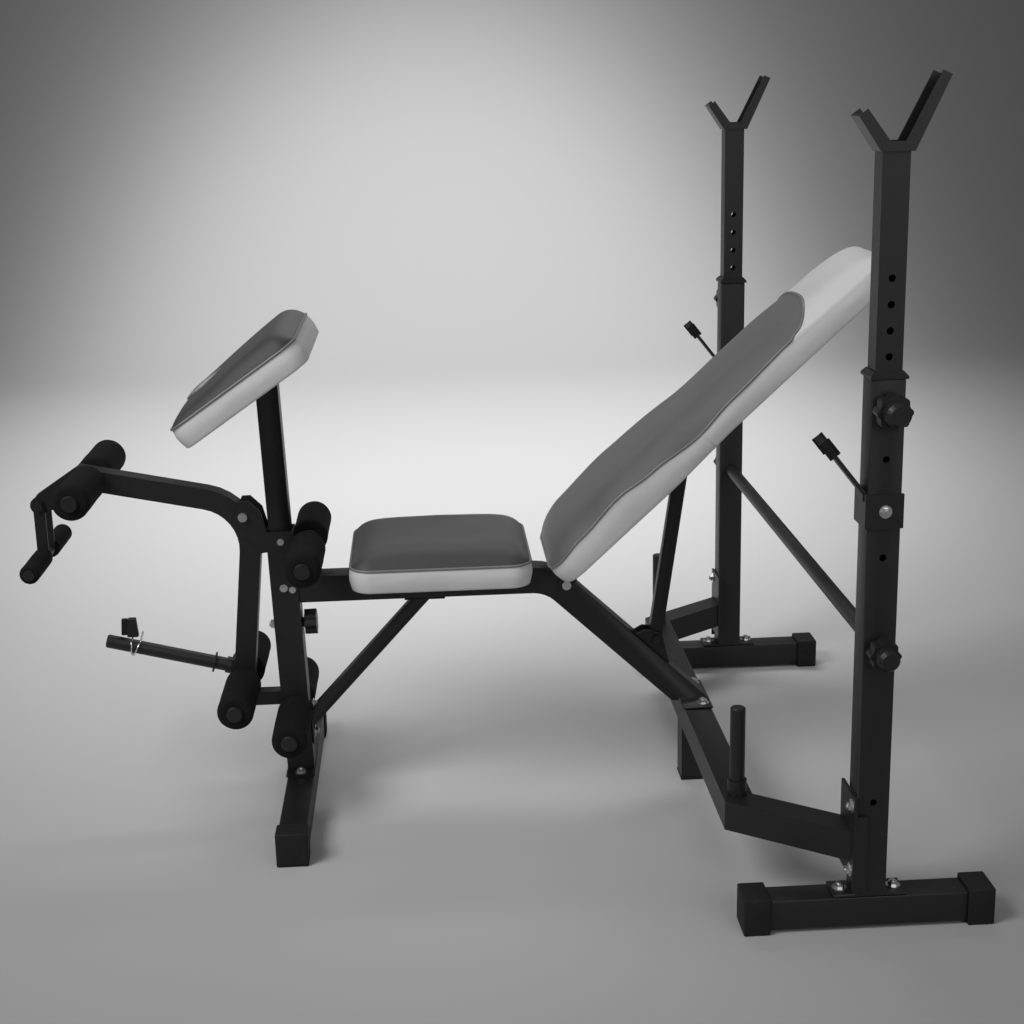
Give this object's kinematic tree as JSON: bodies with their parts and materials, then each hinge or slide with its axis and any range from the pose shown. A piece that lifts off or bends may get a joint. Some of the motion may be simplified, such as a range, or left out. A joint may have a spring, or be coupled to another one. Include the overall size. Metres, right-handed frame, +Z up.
{
  "type": "weight bench",
  "caption": "Adjustable weight bench with barbell rack, reclining backrest, curl pad, leg developer and curl handle.",
  "frame": {"origin": "centre of the bounding box in X and Y, on the floor", "axes": "+X towards the rack end, +Y towards the far side of the rack, +Z up"},
  "size_m": [1.584, 1.34, 1.3068],
  "materials": {
    "black_powder_coat": "fine-grained satin black powder coat",
    "silver_vinyl": "silver-grey vinyl sides with a dark grey vinyl top, stitched",
    "black_foam": "matt closed-cell foam tube",
    "black_plastic": "satin moulded plastic",
    "black_rubber": "matt moulded rubber",
    "zinc_plate": "bright zinc-plated steel",
    "plywood": "dark stained board"
  },
  "bodies": {
    "frame": {"back_hinge_bolt": "zinc_plate", "crossbar_foot": "black_rubber", "developer_bolt": "zinc_plate", "diagonal_brace": "black_powder_coat", "far_collar": "black_plastic", "far_foot_cap_front": "black_rubber", "far_foot_cap_rear": "black_rubber", "far_foot_tube": "black_powder_coat", "far_safety_hook": "black_powder_coat", "far_stabiliser_cap": "black_rubber", "far_storage_peg": "black_powder_coat", "far_upright": "black_powder_coat", "front_post": "black_powder_coat", "front_stabiliser": "black_powder_coat", "lateral_brace": "black_powder_coat", "main_beam": "black_powder_coat", "near_collar": "black_plastic", "near_foot_cap_front": "black_rubber", "near_foot_cap_rear": "black_rubber", "near_foot_tube": "black_powder_coat", "near_safety_hook": "black_powder_coat", "near_stabiliser_cap": "black_rubber", "near_storage_peg": "black_powder_coat", "near_upright": "black_powder_coat", "post_lower_rod": "black_powder_coat", "post_upper_rod": "black_powder_coat", "rear_crossbar": "black_powder_coat", "seat_board": "plywood", "seat_pad": "silver_vinyl", "strut_lug": "black_powder_coat"},
    "near_bar_post": {"near_post": "black_powder_coat"},
    "far_bar_post": {"far_post": "black_powder_coat"},
    "near_height_clamp": {"near_height_knob": "black_plastic"},
    "far_height_clamp": {"far_height_knob": "black_plastic"},
    "near_brace_clamp": {"near_brace_knob": "black_plastic"},
    "far_brace_clamp": {"far_brace_knob": "black_plastic"},
    "curl_clamp": {"curl_knob": "black_plastic"},
    "curl_rest": {"curl_post": "black_powder_coat", "curl_board": "plywood", "curl_pad": "silver_vinyl"},
    "backrest": {"back_frame": "black_powder_coat", "back_board": "plywood", "back_pad": "silver_vinyl"},
    "strut": {"back_strut": "black_powder_coat"},
    "developer": {"developer_arm": "black_powder_coat", "developer_upper_rod": "black_powder_coat", "developer_lower_rod": "black_powder_coat", "weight_peg": "black_powder_coat"},
    "handle": {"curl_handle": "black_powder_coat", "near_grip": "black_foam", "far_grip": "black_foam"},
    "collar_clamp": {"spring_collar": "black_plastic"},
    "post_upper_near_foam": {"post_upper_near_roller": "black_foam"},
    "post_upper_far_foam": {"post_upper_far_roller": "black_foam"},
    "post_lower_near_foam": {"post_lower_near_roller": "black_foam"},
    "post_lower_far_foam": {"post_lower_far_roller": "black_foam"},
    "developer_upper_near_foam": {"developer_upper_near_roller": "black_foam"},
    "developer_upper_far_foam": {"developer_upper_far_roller": "black_foam"},
    "developer_lower_near_foam": {"developer_lower_near_roller": "black_foam"},
    "developer_lower_far_foam": {"developer_lower_far_roller": "black_foam"}
  },
  "joints": [
    {"name": "near_post_height", "type": "slide", "parent": "frame", "child": "near_bar_post", "axis": [0, 0, 1], "range_m": [-0.1875, 0.075]},
    {"name": "far_post_height", "type": "slide", "parent": "frame", "child": "far_bar_post", "axis": [0, 0, 1], "range_m": [-0.1875, 0.075]},
    {"name": "near_height_knob_turn", "type": "hinge", "parent": "frame", "child": "near_height_clamp", "pos_m": [0.592, -0.61, 0.836], "axis": [0, 1, 0], "continuous": true},
    {"name": "near_brace_knob_turn", "type": "hinge", "parent": "frame", "child": "near_brace_clamp", "pos_m": [0.592, -0.61, 0.468], "axis": [0, 1, 0], "continuous": true},
    {"name": "far_height_knob_turn", "type": "hinge", "parent": "frame", "child": "far_height_clamp", "pos_m": [0.592, 0.61, 0.836], "axis": [0, 1, 0], "continuous": true},
    {"name": "far_brace_knob_turn", "type": "hinge", "parent": "frame", "child": "far_brace_clamp", "pos_m": [0.592, 0.61, 0.468], "axis": [0, 1, 0], "continuous": true},
    {"name": "curl_knob_turn", "type": "hinge", "parent": "frame", "child": "curl_clamp", "pos_m": [-0.31869, 0, 0.3436], "axis": [0.9996, 0, 0.0293], "continuous": true},
    {"name": "curl_post_height", "type": "slide", "parent": "frame", "child": "curl_rest", "axis": [-0.0293, 0, 0.9996], "range_m": [0, 0.075]},
    {"name": "backrest_recline", "type": "hinge", "parent": "frame", "child": "backrest", "pos_m": [0.172, 0, 0.405], "axis": [0, 1, 0], "range_deg": [0, 29.5]},
    {"name": "strut_swing", "type": "hinge", "parent": "frame", "child": "strut", "pos_m": [0.3407, 0, 0.288], "axis": [0, 1, 0], "range_deg": [0, 40.3]},
    {"name": "developer_swing", "type": "hinge", "parent": "frame", "child": "developer", "pos_m": [-0.413, 0, 0.556], "axis": [0, 1, 0], "range_deg": [0, 38]},
    {"name": "curl_handle_swing", "type": "hinge", "parent": "developer", "child": "handle", "pos_m": [-0.774, 0, 0.59], "axis": [0, 1, 0], "range_deg": [-60, 60]},
    {"name": "post_upper_near_spin", "type": "hinge", "parent": "frame", "child": "post_upper_near_foam", "pos_m": [-0.2985, -0.1075, 0.497], "axis": [0, 1, 0], "continuous": true},
    {"name": "post_upper_far_spin", "type": "hinge", "parent": "frame", "child": "post_upper_far_foam", "pos_m": [-0.2985, 0.1075, 0.497], "axis": [0, 1, 0], "continuous": true},
    {"name": "post_lower_near_spin", "type": "hinge", "parent": "frame", "child": "post_lower_near_foam", "pos_m": [-0.339, -0.1075, 0.18], "axis": [0, 1, 0], "continuous": true},
    {"name": "post_lower_far_spin", "type": "hinge", "parent": "frame", "child": "post_lower_far_foam", "pos_m": [-0.339, 0.1075, 0.18], "axis": [0, 1, 0], "continuous": true},
    {"name": "developer_upper_near_spin", "type": "hinge", "parent": "developer", "child": "developer_upper_near_foam", "pos_m": [-0.68269, -0.1075, 0.63252], "axis": [0, 1, 0], "continuous": true},
    {"name": "developer_upper_far_spin", "type": "hinge", "parent": "developer", "child": "developer_upper_far_foam", "pos_m": [-0.68269, 0.1075, 0.63252], "axis": [0, 1, 0], "continuous": true},
    {"name": "developer_lower_near_spin", "type": "hinge", "parent": "developer", "child": "developer_lower_near_foam", "pos_m": [-0.43102, -0.1075, 0.23959], "axis": [0, 1, 0], "continuous": true},
    {"name": "developer_lower_far_spin", "type": "hinge", "parent": "developer", "child": "developer_lower_far_foam", "pos_m": [-0.43102, 0.1075, 0.23959], "axis": [0, 1, 0], "continuous": true},
    {"name": "spring_collar_slide", "type": "slide", "parent": "developer", "child": "collar_clamp", "axis": [-0.9681, 0, 0.2504], "range_m": [-0.13, 0.035]}
  ],
  "couplings": [
    {"joint": "strut_swing", "follows": "backrest_recline", "ratio": 1.365}
  ]
}
